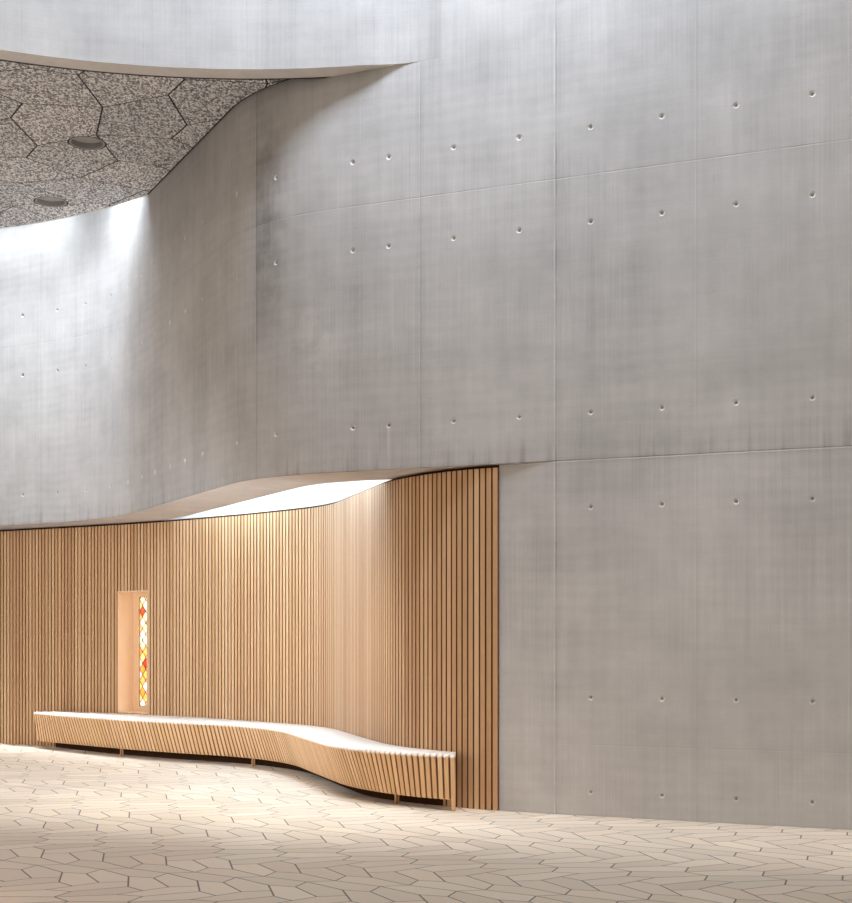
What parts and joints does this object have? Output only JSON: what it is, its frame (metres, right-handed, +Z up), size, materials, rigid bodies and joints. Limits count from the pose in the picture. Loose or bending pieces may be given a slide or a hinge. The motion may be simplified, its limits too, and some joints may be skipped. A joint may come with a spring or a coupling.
{
  "type": "church nave wall bay",
  "caption": "Bay of a modern church interior: curved fair-faced concrete walls over a timber-lined alcove with a long bench, a narrow stained glass window and part of a round chapel ceiling.",
  "frame": {"origin": "on the underside of the floor slab, midway along the bay; the finished floor is 0.3 m higher", "axes": "+X to the right along the nave as seen from inside, +Y from the nave towards the outside, +Z up"},
  "size_m": [11.05, 12.5193, 8.425],
  "materials": {
    "concrete": "fair-faced in-situ concrete with sheet joints and tie holes",
    "shaft_render": "smooth white render",
    "floor_tile": "honed stone tiles with thin dark joints",
    "ash_timber": "planed, clear matt oil",
    "acoustic_board": "mottled porous acoustic board",
    "clear_glass": "clear",
    "stained_glass": "leaded warm coloured glass",
    "frame_steel": "matt grey paint"
  },
  "bodies": {
    "root": {"floor_slab": "concrete", "nave_wall_foot": "concrete", "nave_wall_middle_right": "concrete", "nave_wall_top_right": "concrete", "nave_wall_middle_over_bend": "concrete", "nave_wall_top_over_bend": "concrete", "nave_wall_middle_over_alcove": "concrete", "nave_wall_top_over_alcove": "concrete", "nave_wall_middle_left": "concrete", "nave_wall_top_left": "concrete", "alcove_wall_right": "concrete", "alcove_wall_bend": "concrete", "alcove_wall_middle": "concrete", "alcove_wall_under_window": "concrete", "alcove_wall_over_window": "concrete", "alcove_wall_left": "concrete", "drum_wall_right": "concrete", "drum_wall_middle": "concrete", "drum_wall_left": "concrete", "chapel_roof_slab": "concrete", "chapel_roof_curb": "concrete", "floor_tiles": "floor_tile", "light_shaft_wall_right": "shaft_render", "light_shaft_wall_left": "shaft_render", "timber_lining_right": "ash_timber", "timber_lining_bend": "ash_timber", "timber_lining_middle": "ash_timber", "timber_lining_beside_window": "ash_timber", "timber_lining_under_window": "ash_timber", "timber_lining_over_window": "ash_timber", "timber_lining_left": "ash_timber", "window_reveal": "ash_timber", "window_frame": "ash_timber", "bench_right": "ash_timber", "bench_bend": "ash_timber", "bench_middle": "ash_timber", "bench_left": "ash_timber", "acoustic_ceiling": "acoustic_board", "alcove_rooflight_glass": "clear_glass", "chapel_rooflight_glass": "clear_glass", "stained_glass_window": "stained_glass", "alcove_rooflight_frame": "frame_steel", "chapel_rooflight_frame": "frame_steel", "ceiling_recess_ring_near": "frame_steel", "ceiling_recess_ring_far": "frame_steel"}
  },
  "joints": []
}
